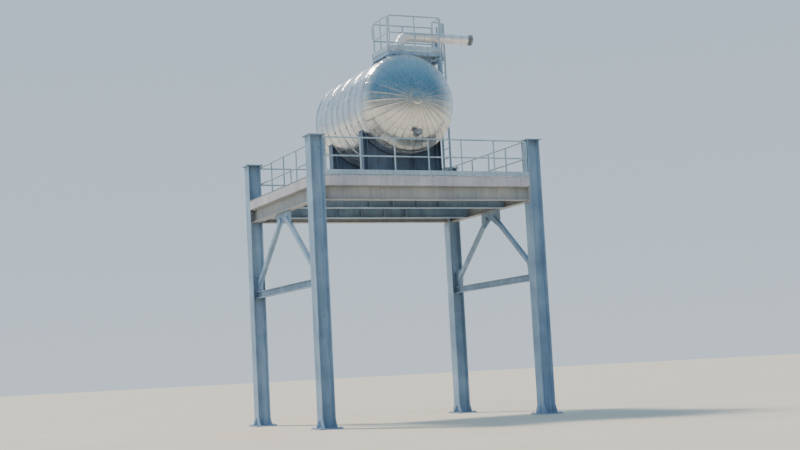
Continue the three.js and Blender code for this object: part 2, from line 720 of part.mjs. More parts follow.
// The access platform on the drum
const [railFrontY, railRearY] = [platformFront + railInset, platformRear - railInset];
const leftLength = railRearY - railFrontY - 2 * cornerGap;
const leftPosts = postPlaces(leftLength, closeSpacing);
const leftRail = railing(leftLength, { posts: leftPosts });
const frontRail = railing(platformRight - platformLeft);
const rearRail = railing(landingRight - platformLeft);
const leftPlace = [platformLeft + railInset, railRearY - cornerGap, floorTop];
const rightPlace = [platformRight - railInset, railFrontY + cornerGap, floorTop];
const handrail = ladderHandrail();
const handrailReach = (ladderWidth + stringer.thick) / 2;
drum.add(
  piece("platform_frame", platformFrame(), paint),
  piece("platform_floor", platformGrating(), galvanised),
  piece("platform_rail_front", frontRail, galvanised, [platformLeft, railFrontY, floorTop]),
  piece("platform_rail_left", leftRail, galvanised, leftPlace, -quarter),
  piece("platform_rail_rear", rearRail, galvanised, [landingRight, railRearY, floorTop], half),
  piece("platform_rail_right", rightRail(), galvanised, rightPlace),
  piece("tank_ladder", tankLadder(), galvanised),
  piece("ladder_handrail_front", handrail, galvanised, [ladderX, ladderY - handrailReach, floorTop]),
  piece("ladder_handrail_rear", handrail, galvanised, [ladderX, ladderY + handrailReach, floorTop]),
);

export default part;
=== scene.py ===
"""Looks of the clad gas drum on its steel stand: cladding, grating, railings, bolts, paint and light."""
import math

import bpy
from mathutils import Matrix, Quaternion, Vector


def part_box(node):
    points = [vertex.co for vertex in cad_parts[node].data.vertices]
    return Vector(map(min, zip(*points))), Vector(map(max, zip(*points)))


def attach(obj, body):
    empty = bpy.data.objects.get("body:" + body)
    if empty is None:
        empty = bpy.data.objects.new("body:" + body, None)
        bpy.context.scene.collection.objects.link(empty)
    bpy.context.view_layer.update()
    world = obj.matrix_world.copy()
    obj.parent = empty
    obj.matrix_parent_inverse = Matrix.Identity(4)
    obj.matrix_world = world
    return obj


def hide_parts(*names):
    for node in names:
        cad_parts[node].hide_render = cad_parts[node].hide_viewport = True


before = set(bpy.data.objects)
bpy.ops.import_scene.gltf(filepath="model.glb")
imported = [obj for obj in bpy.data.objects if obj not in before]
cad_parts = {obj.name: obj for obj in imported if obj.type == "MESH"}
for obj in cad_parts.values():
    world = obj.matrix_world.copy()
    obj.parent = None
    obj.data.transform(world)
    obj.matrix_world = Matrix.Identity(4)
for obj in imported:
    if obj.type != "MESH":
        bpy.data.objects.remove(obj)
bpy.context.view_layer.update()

up = Vector((0, 0, 1))
rearward = Vector((0, 1, 0))
rightward = Vector((1, 0, 0))
sides = ("left", "right")
rows = ("front", "rear")


def corners(node):
    """The lowest and the highest corner of a node."""
    low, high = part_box(node)
    return Vector(low), Vector(high)


def middle_of(node):
    """The middle of a node's box."""
    low, high = corners(node)
    return (low + high) / 2


# Sizes read from the frame, in metres
shell_low, shell_high = corners("tank_shell")
drum_radius = (shell_high.x - shell_low.x) / 2
drum_middle = (shell_low + shell_high) / 2
front_seam = shell_low.y
rear_seam = shell_high.y
head_depth = front_seam - corners("head_front")[0].y
deck_top = corners("deck_rail_front")[0].z
floor_top = corners("platform_rail_front")[0].z
rail_height = corners("deck_rail_front")[1].z - deck_top

# Sizes that several parts share
rail_radius = 0.022
sheet_thickness = 0.004
column_half = 0.2
gore_count = 32
gore = math.tau / gore_count
sharp_angle = math.radians(50)

# Sides of round shapes, from the drum down to a bolt's head
round_sides = 120
cap_sides = 48
flange_sides = 40
pipe_sides = 32
bar_sides = 12
tube_sides = 10
hexagon = 6


def spokes(axis, count, first=0.0):
    """Unit vectors at right angles to an axis, evenly round it."""
    axis = Vector(axis).normalized()
    across = axis.orthogonal().normalized()
    beside = axis.cross(across)
    angles = [math.tau * (i + first) / count for i in range(count)]
    return [across * math.cos(angle) + beside * math.sin(angle) for angle in angles]


def grid_faces(row_count, column_count, flip=False, looped=True):
    """Faces of a grid of points whose rows close on themselves, and whose last row may meet the first."""
    faces = []
    for row in range(row_count if looped else row_count - 1):
        here = row * column_count
        there = (row + 1) % row_count * column_count
        for i in range(column_count):
            j = (i + 1) % column_count
            face = (here + i, here + j, there + j, there + i)
            faces.append(face[::-1] if flip else face)
    return faces


class Shape:
    """Points and faces of one piece, gathered before its mesh is made."""

    def __init__(self):
        self.points = []
        self.faces = []
        self.smooth = []

    def add(self, points, faces, smooth=False):
        start = len(self.points)
        self.points.extend(points)
        self.faces.extend([start + i for i in face] for face in faces)
        self.smooth.extend([smooth] * len(faces))

    def box(self, corner, opposite):
        low = [min(pair) for pair in zip(corner, opposite)]
        high = [max(pair) for pair in zip(corner, opposite)]
        points = [(x, y, z) for z in (low[2], high[2]) for y in (low[1], high[1]) for x in (low[0], high[0])]
        self.add(points, [(0, 2, 3, 1), (4, 5, 7, 6), (0, 1, 5, 4), (2, 6, 7, 3), (0, 4, 6, 2), (1, 3, 7, 5)])

    def turned(self, profile, start, axis, sides, smooth=True):
        """A round body about a line, from (distance along, radius) pairs, closed by flat ends."""
        way = Vector(axis).normalized()
        start = Vector(start)
        around = spokes(way, sides)
        points = [start + way * along + spoke * radius for along, radius in profile for spoke in around]
        self.add(points, grid_faces(len(profile), sides, looped=False), smooth)
        self.end_caps(points, sides)

    def end_caps(self, points, sides):
        """Flat faces over the first and the last row of a round body's points."""
        self.add(points[:sides], [tuple(reversed(range(sides)))])
        self.add(points[-sides:], [tuple(range(sides))])

    def ring(self, section, centre, axis, sides):
        """A ring about a line, from (distance along, radius) pairs that close on themselves."""
        way = Vector(axis).normalized()
        centre = Vector(centre)
        around = spokes(way, sides)
        points = [centre + way * along + spoke * radius for spoke in around for along, radius in section]
        self.add(points, grid_faces(sides, len(section), True), True)

    def tube(self, path, radius, sides=tube_sides, closed=False):
        """A round tube along a path of points."""
        path = [Vector(point) for point in path]
        count = len(path)
        across = None
        points = []
        for i, here in enumerate(path):
            before = path[i - 1] if i or closed else here
            after = path[(i + 1) % count] if i < count - 1 or closed else here
            way = (after - before).normalized()
            if across is None:
                across = way.orthogonal()
            across = (across - way * across.dot(way)).normalized()
            beside = way.cross(across)
            for side in range(sides):
                angle = math.tau * side / sides
                points.append(here + (across * math.cos(angle) + beside * math.sin(angle)) * radius)
        self.add(points, grid_faces(count, sides, looped=closed), True)
        if not closed:
            self.end_caps(points, sides)

    def bolt(self, place, axis, size):
        """A washer and a hexagon head that stand on a face and point along an axis."""
        washer, head = 0.2 * size, 0.65 * size
        width, chamfered = 0.85 * size, 0.7 * size
        self.turned([(0, size), (washer, size)], place, axis, bar_sides)
        start = Vector(place) + Vector(axis).normalized() * washer
        self.turned([(0, width), (0.8 * head, width), (head, chamfered)], start, axis, hexagon, False)

    def bolt_circle(self, centre, axis, radius, count, size):
        """Bolts round a flange."""
        for spoke in spokes(axis, count, 0.5):
            self.bolt(Vector(centre) + spoke * radius, axis, size)


def piece(name, shape, material, replaced=()):
    """A shape as an object of the scene, on the frame's body."""
    mesh = bpy.data.meshes.new(name)
    mesh.from_pydata([tuple(point) for point in shape.points], [], shape.faces)
    mesh.polygons.foreach_set("use_smooth", shape.smooth)
    mesh.set_sharp_from_angle(angle=sharp_angle)
    mesh.materials.append(material)
    made = bpy.data.objects.new(name, mesh)
    bpy.context.scene.collection.objects.link(made)
    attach(made, "root")
    if replaced:
        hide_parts(*replaced)
    return made


# Materials. A Mix node's colours are known by the numbers of its sockets
mix_colours = (6, 7)
mix_result = 2
light_rust = (0.19, 0.085, 0.045)
dark_rust = (0.17, 0.08, 0.045)

# Darkening along the seams of a head, partly dirt and partly painted shade of the laps: from one seam to the
# next, from the drum's bottom to its top, and by noise
seam_darkening_by_gore = [(0.0, 0.7), (0.06, 0.6), (0.12, 0.15), (0.3, 0.0), (0.94, 0.0), (1.0, 0.7)]
darkening_by_height = [(0.4, 1.0), (0.62, 0.3)]
darkening_patches = [(0.35, 0.3), (0.65, 1.0)]


class Nodes:
    """The nodes of a material or of the world."""

    def __init__(self, tree):
        self.tree = tree

    def new(self, kind):
        return self.tree.nodes.new("ShaderNode" + kind)

    def feed(self, socket, value):
        """Joins a socket to another node's, or sets it to a plain number or colour."""
        if isinstance(value, tuple):
            socket.default_value = (*value, 1.0)
        elif isinstance(value, float):
            socket.default_value = value
        else:
            self.tree.links.new(value, socket)

    def ramp(self, value, stops):
        """A colour or a share for each value, from (value, colour or share) pairs."""
        node = self.new("ValToRGB")
        elements = node.color_ramp.elements
        while len(elements) < len(stops):
            elements.new(0.5)
        for element, (place, colour) in zip(elements, stops):
            element.position = place
            element.color = (*colour, 1.0) if isinstance(colour, tuple) else (colour, colour, colour, 1.0)
        self.feed(node.inputs["Fac"], value)
        return node.outputs["Color"]

    def mix(self, amount, *colours):
        node = self.new("Mix")
        node.data_type = "RGBA"
        self.feed(node.inputs["Factor"], amount)
        for number, colour in zip(mix_colours, colours):
            self.feed(node.inputs[number], colour)
        return node.outputs[mix_result]

    def calculate(self, operation, *values):
        node = self.new("Math")
        node.operation = operation
        for socket, value in zip(node.inputs, values):
            self.feed(socket, value)
        return node.outputs[0]


class Finish(Nodes):
    """The nodes of one material, worked out from each point's place on the object."""

    def __init__(self, name, roughness, metallic=0.0):
        self.material = bpy.data.materials.new(name)
        self.material.use_nodes = True
        super().__init__(self.material.node_tree)
        self.shader = self.tree.nodes["Principled BSDF"]
        self.feed(self.shader.inputs["Metallic"], metallic)
        self.feed(self.shader.inputs["Roughness"], roughness)
        self.place = self.new("TexCoord").outputs["Object"]

    def noise(self, scale, detail=4.0, stretch=(1.0, 1.0, 1.0)):
        """Cloudy noise, drawn out along an axis whose stretch is under 1."""
        mapping = self.new("Mapping")
        mapping.inputs["Scale"].default_value = stretch
        noise = self.new("TexNoise")
        self.feed(noise.inputs["Scale"], scale)
        self.feed(noise.inputs["Detail"], detail)
        self.feed(mapping.inputs["Vector"], self.place)
        self.feed(noise.inputs["Vector"], mapping.outputs["Vector"])
        return noise.outputs["Fac"]

    def cells(self, scale):
        """A value for each of many small cells."""
        voronoi = self.new("TexVoronoi")
        self.feed(voronoi.inputs["Scale"], scale)
        self.feed(voronoi.inputs["Vector"], self.place)
        return voronoi.outputs["Color"]

    def colour(self, value):
        self.feed(self.shader.inputs["Base Color"], value)

    def roughness(self, value):
        self.feed(self.shader.inputs["Roughness"], value)

    def bump(self, value, strength, distance):
        """Relief over what the surface has already."""
        bump = self.new("Bump")
        self.feed(bump.inputs["Strength"], strength)
        self.feed(bump.inputs["Distance"], distance)
        previous = self.shader.inputs["Normal"].links
        if previous:
            self.feed(bump.inputs["Normal"], previous[0].from_socket)
        self.feed(bump.inputs["Height"], value)
        self.feed(self.shader.inputs["Normal"], bump.outputs["Normal"])


def darker(colour, share):
    return tuple(share * part for part in colour)


def painted(name, light, dark, roughness=0.5):
    """Weathered paint on steel: chalky patches, streaks that run down, and small rust spots."""
    finish = Finish(name, roughness)
    patches = finish.ramp(finish.noise(1.3, 6.0), [(0.3, dark), (0.7, light)])
    streaks = finish.ramp(finish.noise(9.0, 3.0, (1.0, 1.0, 0.06)), [(0.45, 0.0), (0.75, 0.55)])
    dirt = finish.mix(streaks, patches, darker(dark, 0.72))
    rust = finish.ramp(finish.noise(14.0, 8.0), [(0.67, 0.0), (0.72, 0.8)])
    finish.colour(finish.mix(rust, dirt, light_rust))
    finish.roughness(finish.ramp(finish.noise(6.0), [(0.3, roughness - 0.08), (0.7, roughness + 0.15)]))
    finish.bump(finish.noise(90.0, 2.0), 0.25, 0.002)
    return finish.material


def seam_dirt_and_shade(finish):
    """Dark lines along the seams of a head, partly dirt and partly painted shade of the laps, in patches, and
    stronger towards the bottom.
    """
    split = finish.new("SeparateXYZ")
    finish.feed(split.inputs[0], finish.place)
    beside = finish.calculate("SUBTRACT", split.outputs["X"], drum_middle.x)
    above = finish.calculate("SUBTRACT", split.outputs["Z"], drum_middle.z)
    turn = finish.calculate("DIVIDE", finish.calculate("ARCTAN2", above, beside), gore)
    height = finish.calculate("MULTIPLY_ADD", above, 0.5 / drum_radius, 0.5)
    # The seam darkening is partly dirt and partly painted shade of the laps, and it is stronger towards the
    # bottom.
    dirt = finish.ramp(finish.calculate("FRACT", turn), seam_darkening_by_gore)
    for layer in (finish.ramp(height, darkening_by_height), finish.ramp(finish.noise(1.7, 5.0), darkening_patches)):
        dirt = finish.calculate("MULTIPLY", dirt, layer)
    return dirt


def clad(name, light, dark, roughness, wobble, metallic=0.92, dirt=None):
    """Weathered aluminium sheet: cloudy oxide, faint streaks, an uneven surface, and where asked a darker
    mask, such as seam dirt with painted shade.
    """
    finish = Finish(name, roughness, metallic)
    clouds = finish.ramp(finish.noise(2.2, 6.0), [(0.3, dark), (0.72, light)])
    streaks = finish.ramp(finish.noise(11.0, 4.0, (1.0, 1.0, 0.07)), [(0.5, 0.0), (0.8, 0.45)])
    sheet = finish.mix(streaks, clouds, darker(dark, 0.7))
    if dirt:
        # The mask darkens the sheet along the seams: dirt, and painted shade of the laps.
        sheet = finish.mix(dirt(finish), sheet, darker(dark, 0.4))
    finish.colour(sheet)
    worn = [(0.3, roughness - 0.06), (0.75, roughness + 0.14)]
    finish.roughness(finish.ramp(finish.noise(4.0, 6.0), worn))
    finish.bump(finish.noise(2.6, 2.0), wobble, 0.05)
    finish.bump(finish.noise(160.0, 2.0), 0.12, 0.001)
    return finish.material


def zinc(name):
    """Galvanised steel: dull grey with spangle and darker runs."""
    finish = Finish(name, 0.5, 0.6)
    spangle = finish.ramp(finish.cells(26.0), [(0.1, (0.40, 0.43, 0.45)), (0.9, (0.60, 0.63, 0.65))])
    stains = finish.ramp(finish.noise(3.0, 6.0), [(0.5, 0.0), (0.75, 0.6)])
    finish.colour(finish.mix(stains, spangle, (0.25, 0.25, 0.24)))
    finish.roughness(finish.ramp(finish.noise(12.0), [(0.3, 0.42), (0.7, 0.66)]))
    finish.bump(finish.noise(70.0, 2.0), 0.2, 0.001)
    return finish.material


def flange_metal(name):
    """Primed flange steel with rust at its edges and in spots."""
    finish = Finish(name, 0.55, 0.35)
    base = finish.ramp(finish.noise(5.0, 6.0), [(0.3, (0.20, 0.22, 0.24)), (0.7, (0.34, 0.37, 0.39))])
    rust = finish.ramp(finish.noise(11.0, 8.0), [(0.58, 0.0), (0.66, 0.85)])
    finish.colour(finish.mix(rust, base, dark_rust))
    finish.roughness(finish.ramp(finish.noise(18.0), [(0.3, 0.45), (0.7, 0.75)]))
    finish.bump(finish.noise(60.0, 3.0), 0.35, 0.002)
    return finish.material


frame_paint = painted("frame_paint", (0.28, 0.40, 0.52), (0.16, 0.25, 0.36))
edge_paint = painted("edge_paint", (0.52, 0.50, 0.52), (0.36, 0.36, 0.40))
girder_paint = painted("girder_paint", (0.36, 0.37, 0.36), (0.25, 0.26, 0.27))
# The saddles get a near-black blue: painted shade, standing in for the shadow under the drum.
saddle_painted_shade = painted("saddle_painted_shade", (0.12, 0.17, 0.24), (0.07, 0.10, 0.15))
rail_paint = painted("rail_paint", (0.40, 0.50, 0.57), (0.27, 0.37, 0.45), 0.45)
# The heads' seams are darkened with dirt and painted shade of the laps.
head_sheet = clad("head_sheet", (0.79, 0.78, 0.74), (0.63, 0.63, 0.61), 0.2, 0.04, dirt=seam_dirt_and_shade)
shell_sheet = clad("shell_sheet", (0.80, 0.82, 0.84), (0.60, 0.63, 0.65), 0.22, 0.12)
pipe_sheet = clad("pipe_sheet", (0.90, 0.90, 0.90), (0.76, 0.77, 0.78), 0.42, 0.06, 0.45)
grating_zinc = zinc("grating_zinc")
flange_steel = flange_metal("flange_steel")


def dress(material, *nodes):
    """Gives a material to the frame's own solids."""
    for node in nodes:
        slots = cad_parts[node].material_slots
        for slot in slots:
            slot.material = material


dress(frame_paint, *(f"column_{side}_{row}" for side in sides for row in rows))
dress(frame_paint, *(f"brace_{side}_{row}" for side in sides for row in rows))
dress(frame_paint, *(f"side_strut_{side}" for side in sides), *(f"saddle_beam_{row}" for row in rows))
dress(frame_paint, "platform_frame")
# The saddles take the dark paint that is painted shade under the drum.
dress(saddle_painted_shade, *(f"saddle_{row}" for row in rows))
dress(girder_paint, "girder_front", "girder_rear", "side_girder_left", "side_girder_right")
dress(flange_steel, "manway_neck", "manway_cover", "outlet_nozzle", "drain_nozzle", "gauge_nozzle")


# Heads of the drum: gores of sheet with lapped seams, a centre cap, a rim band and screws
cap_radius = 0.16
cap_part = math.asin(cap_radius / drum_radius) / (math.pi / 2)
gore_start = 0.8 * cap_part
gore_rows = 30

# Screws of a seam: their number, the last one's part of the way to the rim, how far beside the seam they
# are, in gores, how deep they are sunk, and their profile
screws_per_seam = 9
last_screw = 0.97
screw_turn = 0.03
screw_sink = 0.001
screw = [(0, 0.008), (0.004, 0.007), (0.006, 0.003)]

# How much flatter than the dish a gore is in its middle, fading out over the last third before the rim
flatness = 0.035
rim_fade = 3

# The lap of one gore over the next: its height at the rim, and its share of that by part of a gore
seam_lift = 0.0028
seam_profile = [(0.0, 0.1), (0.015, 0.7), (0.03, 1.0), (0.045, 0.7), (0.06, 0.1),
                (0.3, 0.0), (0.5, 0.0), (0.7, 0.0), (0.9, 0.0)]


def on_head(centre, side, part, turn, lift):
    """A point over a dished head: part goes from 0 in its middle to 1 at its rim, turn counts gores."""
    slope = part * math.pi / 2
    away = Vector((math.sin(slope) / drum_radius, math.cos(slope) / head_depth)).normalized() * lift
    radius = drum_radius * math.sin(slope) + away.x
    ahead = head_depth * math.cos(slope) + away.y
    angle = math.pi / 2 + turn * gore
    return centre + Vector((radius * math.cos(angle), side * ahead, radius * math.sin(angle)))


def head_gores(shape, centre, side):
    """Gores a little flatter than the dish, each lapped over the next, as one sheet with two faces."""
    parts = [gore_start + (1 - gore_start) * i / gore_rows for i in range(gore_rows + 1)]
    layers = [(part, 0.0) for part in parts] + [(part, sheet_thickness) for part in reversed(parts)]
    points = []
    for part, inward in layers:
        radius = drum_radius * math.sin(part * math.pi / 2)
        for i in range(gore_count):
            for offset, share in seam_profile:
                chord = math.cos(gore / 2) / math.cos((offset - 0.5) * gore)
                sink = flatness * radius * (1 - chord) * min(1.0, rim_fade * (1 - part))
                lift = share * seam_lift * radius / drum_radius
                points.append(on_head(centre, side, part, i + offset, lift - sink - inward))
    shape.add(points, grid_faces(len(layers), gore_count * len(seam_profile), side < 0), True)


def head_cap(shape, centre, side):
    """A domed disc with a rolled edge over the points of the gores."""
    edge = head_depth * math.cos(cap_part * math.pi / 2)
    profile = [(edge - 0.03, cap_radius), (edge + 0.002, cap_radius), (edge + 0.006, cap_radius - 0.01),
               (head_depth + 0.001, 0.6 * cap_radius), (head_depth + 0.004, 0.3 * cap_radius),
               (head_depth + 0.005, 0.01)]
    shape.turned(profile, centre, rearward * side, cap_sides)


def head_rim(shape, centre, side):
    """The rolled band over the joint between the head and the shell."""
    section = [(-0.05, -0.01), (-0.05, 0.006), (-0.035, 0.011), (-0.02, 0.006), (0.03, 0.006), (0.045, 0.009),
               (0.06, 0.003), (0.06, -0.02)]
    shape.ring([(along, drum_radius + out) for along, out in section], centre, rearward * side, round_sides)


def head_screws(shape, centre, side):
    """Screws along the laps, each square to the head."""
    for i in range(gore_count):
        for step in range(screws_per_seam):
            part = cap_part + (last_screw - cap_part) * (step + 0.5) / screws_per_seam
            lift = seam_lift * math.sin(part * math.pi / 2) - screw_sink
            base = on_head(centre, side, part, i + screw_turn, lift)
            reach = base - centre
            away = Vector((reach.x / drum_radius ** 2, reach.y / head_depth ** 2, reach.z / drum_radius ** 2))
            shape.turned(screw, base, away, hexagon)


def head_cladding(row, seam_y, side):
    """One head; side is -1 in front and 1 at the rear."""
    centre = Vector((drum_middle.x, seam_y, drum_middle.z))
    shape = Shape()
    head_gores(shape, centre, side)
    head_cap(shape, centre, side)
    head_rim(shape, centre, side)
    head_screws(shape, centre, side)
    piece(f"head_{row}_cladding", shape, head_sheet, [f"head_{row}"])


head_cladding("front", front_seam, -1)
head_cladding("rear", rear_seam, 1)


# Shell: courses of sheet with rolled beads, lapped lengthwise seams and slight dents, held by straps
course_count = 4
course_length = (rear_seam - front_seam) / course_count
course_turn = math.radians(17)
dent_depth = 0.0016

# Height of the sheet over the drum: by metres along the bead of a course, then by part of its length
course_bead = [(0.0, 0.004), (0.012, 0.006), (0.02, 0.013), (0.03, 0.015), (0.04, 0.013),
               (0.048, 0.006), (0.08, 0.004)]
course_slope = [(0.3, 0.003), (0.55, 0.002), (0.8, 0.001), (1.0, 0.0)]

# Lengthwise laps: where they lie round the drum, and their height by the angle from their middle
lap_angles = [math.radians(degrees) for degrees in (28, 152, 262)]
lap_columns = [(-0.034, 0.0), (-0.028, 0.007), (-0.02, 0.009), (-0.012, 0.007), (-0.006, 0.003),
               (0.0, 0.003), (0.001, 0.0)]
lap_reach = 0.045

# Straps: their places along a course, and the angles of their buckles
strap_parts = (0.12, 0.55)
strap_thickness = 0.0055
strap_half = 0.01
strap_rise = 0.003
buckle_angles = [math.radians(degrees) for degrees in (200, 340)]
buckle_half = Vector((0.008, 0.017, 0.03))


def dent(x, y, z):
    """Slight hollows and swells of the sheet, by a point's place round and along the drum."""
    waves = math.sin(5.1 * y + 2.3 * z) + math.sin(4.3 * z - 3.1 * x + 1.7) + math.sin(7.7 * x + 6.1 * y)
    return dent_depth * waves


def course_angles(turn):
    """Angles round one course, closer together at its lengthwise laps, with the lift of each."""
    angles = {math.tau * i / round_sides: 0.0 for i in range(round_sides)}
    for lap in lap_angles:
        middle = (lap + turn) % math.tau
        for angle in list(angles):
            if abs(angle - middle) < lap_reach:
                del angles[angle]
        for offset, lift in lap_columns:
            angles[(middle + offset) % math.tau] = lift
    return sorted(angles.items())


def course_rows():
    """Distance along a course, lift and share of the dents, for the outside and back along the inside."""
    bead = [(along, lift, 0) for along, lift in course_bead]
    slope = [(part * course_length, lift, part < 1) for part, lift in course_slope]
    return bead + slope + [(course_length, -sheet_thickness, 0), (0.0, -sheet_thickness, 0)]


def shell_cladding():
    """The courses one after the other, every second one turned so that their laps don't line up."""
    shape = Shape()
    for course in range(course_count):
        start = front_seam + course * course_length
        angles = course_angles(course_turn * (course % 2))
        points = []
        for along, lift, dented in course_rows():
            y = start + along
            for angle, lap in angles:
                x, z = math.cos(angle), math.sin(angle)
                radius = drum_radius + lift + lap + dented * dent(x, y, z)
                points.append((drum_middle.x + radius * x, y, drum_middle.z + radius * z))
        shape.add(points, grid_faces(len(course_rows()), len(angles), True), True)
    piece("shell_cladding", shape, shell_sheet, ["tank_shell"])


def shell_straps():
    """Thin bands round the shell, each with its buckles."""
    shape = Shape()
    inside = drum_radius + strap_rise
    outside = inside + strap_thickness
    section = [(-strap_half, inside), (strap_half, inside), (strap_half, outside), (-strap_half, outside)]
    for course in range(course_count):
        for part in strap_parts:
            y = front_seam + (course + part) * course_length
            centre = Vector((drum_middle.x, y, drum_middle.z))
            shape.ring(section, centre, rearward, round_sides)
            for angle in buckle_angles:
                out = Vector((math.cos(angle), 0, math.sin(angle)))
                buckle = centre + out * (outside + strap_thickness)
                shape.box(buckle - buckle_half, buckle + buckle_half)
    piece("shell_straps", shape, grating_zinc)


# Collars: their section by (distance along the neck, distance from it), and each neck's radius and way
collar = [(-0.03, 0.012), (0.02, 0.012), (0.026, 0.02), (0.02, 0.075), (-0.03, 0.09)]
outlet_neck = 0.11
necks = {"outlet_nozzle": (outlet_neck, up), "drain_nozzle": (0.084, -up),
         "gauge_nozzle": (0.045, -rearward), "manway_neck": (0.28, rearward)}


def collars():
    """Collars of sheet round the necks of the nozzles and the manway."""
    shape = Shape()
    for node, (neck, way) in necks.items():
        centre = middle_of(node)
        if way.z:
            centre.z = drum_middle.z + way.z * drum_radius
        else:
            rise = (centre.z - drum_middle.z) / drum_radius
            seam_y = front_seam if way.y < 0 else rear_seam
            centre.y = seam_y + way.y * head_depth * math.sqrt(1 - rise ** 2)
        shape.ring([(along, neck + out) for along, out in collar], centre, way, flange_sides)
    piece("nozzle_collars", shape, head_sheet)


shell_cladding()
shell_straps()
collars()


# Deck and platform floors: bearing bars and cross rods, cut round what passes through, on channels
bearing_pitch = 0.0345
bearing_half = 0.0025
cross_pitch = 0.1016
cross_half = 0.003
cross_heights = (-0.009, -0.001)
edge_bar = 0.004
deck_grating_depth = 0.04
platform_grating_depth = 0.03
channel_flange = 0.014
channel_web = 0.01
edge_channel = 0.075
trimmer_channel = 0.06
joist_count = 5
joist_pitch = 1.23
level_step = 0.001
rail_edge = 0.027
shortest_bar = 0.01

# Room that the grating leaves round a column, and beside and before a saddle and the outlet's nozzle
column_gap = 0.01
saddle_gap = (0.045, 0.025)
nozzle_gap = (0.04, 0.04)


def clear_spans(start, end, across, holes, axis):
    """The parts of a line that lie outside all holes, for a bar that runs along one axis."""
    spans = [(start, end)]
    for low, high in holes:
        if low[1 - axis] < across < high[1 - axis]:
            before = [(a, min(b, low[axis])) for a, b in spans]
            after = [(max(a, high[axis]), b) for a, b in spans]
            spans = sorted((a, b) for a, b in before + after if b - a > shortest_bar)
    return spans


def spread(low, high, pitch):
    """Even places of bars between two edges."""
    count = int((high - low) / pitch)
    return [low + cross_half + i * (high - low - 2 * cross_half) / count for i in range(count + 1)]


def grating(shape, low, high, depth, holes):
    """Bar grating between two corners in plan, with its top at the height of the high corner."""
    top = high.z
    for y in spread(low.y, high.y, bearing_pitch):
        for start, end in clear_spans(low.x, high.x, y, holes, 0):
            shape.box((start, y - bearing_half, top - depth), (end, y + bearing_half, top))
    rod_low, rod_high = [top + height for height in cross_heights]
    for x in spread(low.x, high.x, cross_pitch):
        for start, end in clear_spans(low.y, high.y, x, holes, 1):
            shape.box((x - cross_half, start, rod_low), (x + cross_half, end, rod_high))
    for hole in holes:
        for start, end in hole_bars(hole):
            start = (max(start[0], low.x), max(start[1], low.y), top - depth)
            end = (min(end[0], high.x), min(end[1], high.y), top)
            if start[0] < end[0] and start[1] < end[1]:
                shape.box(start, end)


def hole_bars(hole):
    """Plans of the four bars round a hole."""
    (x0, y0), (x1, y1) = hole
    left, right = x0 - edge_bar, x1 + edge_bar
    front, rear = y0 - edge_bar, y1 + edge_bar
    return [((left, front), (x0, rear)), ((x1, front), (right, rear)),
            ((x0, front), (x1, y0)), ((x0, y1), (x1, rear))]


def plan_of(node, beside, before):
    """The plan of a node, with room on its sides and at its ends."""
    low, high = corners(node)
    return (low.x - beside, low.y - before), (high.x + beside, high.y + before)


def column_plan(side, row):
    """The plan of a column's shaft, without its wider base, with room round it."""
    middle = middle_of(f"column_{side}_{row}")
    half = column_half + column_gap
    return (middle.x - half, middle.y - half), (middle.x + half, middle.y + half)


def channel(shape, start, end, heights, reach):
    """A channel along X or Y between two plan points: its flanges reach a signed way across from its web."""
    low, high = heights
    web = math.copysign(channel_web, reach)
    section = [(0, low), (reach, low), (reach, low + channel_flange), (web, low + channel_flange),
               (web, high - channel_flange), (reach, high - channel_flange), (reach, high), (0, high)]
    start, end = sorted((start, end))
    along_x = start[1] == end[1]
    points = []
    for x, y in (start, end):
        points.extend((x, y + out, z) if along_x else (x + out, y, z) for out, z in section)
    count = len(section)
    faces = grid_faces(2, count, looped=False)
    faces += [tuple(reversed(range(count))), tuple(range(count, 2 * count))]
    if (reach > 0) != along_x:
        faces = [face[::-1] for face in faces]
    shape.add(points, faces)


def deck(row):
    """Half of the deck: grating on a frame of channels, open round its columns and its saddle."""
    node = f"deck_panel_{row}"
    low, high = corners(node)
    columns = [column_plan(side, row) for side in sides]
    saddle = plan_of(f"saddle_{row}", *saddle_gap)
    floor = Shape()
    grating(floor, low, high, deck_grating_depth, columns + [saddle])
    piece(f"deck_grating_{row}", floor, grating_zinc, [node])

    def heights(level):
        """Bottom and top of a channel, so that channels of different levels share no face."""
        return low.z + level * level_step, high.z - deck_grating_depth - level * level_step

    front = row == "front"
    inward = 1 if front else -1
    outer_y, inner_y = (low.y, high.y) if front else (high.y, low.y)
    notch_x = columns[1][0][0]
    notch_y = columns[0][1][1] if front else columns[0][0][1]
    step_y = inward * level_step
    inner_x = high.x - level_step
    steel = Shape()
    channel(steel, (-notch_x, outer_y), (notch_x, outer_y), heights(0), inward * edge_channel)
    channel(steel, (-inner_x, inner_y), (inner_x, inner_y), heights(1), -inward * edge_channel)
    for edge_x, way in ((low.x, 1), (high.x, -1)):
        column_x = -way * notch_x
        step_x = way * level_step
        channel(steel, (edge_x, notch_y + step_y), (edge_x, inner_y), heights(0), way * edge_channel)
        channel(steel, (column_x, outer_y + step_y), (column_x, notch_y), heights(1), way * trimmer_channel)
        channel(steel, (column_x, notch_y), (edge_x + step_x, notch_y), heights(2), inward * trimmer_channel)
    for i in range(joist_count):
        web_x = (i - (joist_count - 1) / 2) * joist_pitch - edge_channel / 2
        for start, end in clear_spans(low.y + channel_web, high.y - channel_web, web_x, [saddle], 1):
            channel(steel, (web_x, start), (web_x, end), heights(3), edge_channel)
    (x0, y0), (x1, y1) = saddle
    for y, way in ((y0, -1), (y1, 1)):
        channel(steel, (x0, y), (x1, y), heights(4), way * trimmer_channel)
    for x, way in ((x0, -1), (x1, 1)):
        channel(steel, (x, y0), (x, y1), heights(4), way * trimmer_channel)
    piece(f"deck_steel_{row}", steel, edge_paint, [node])


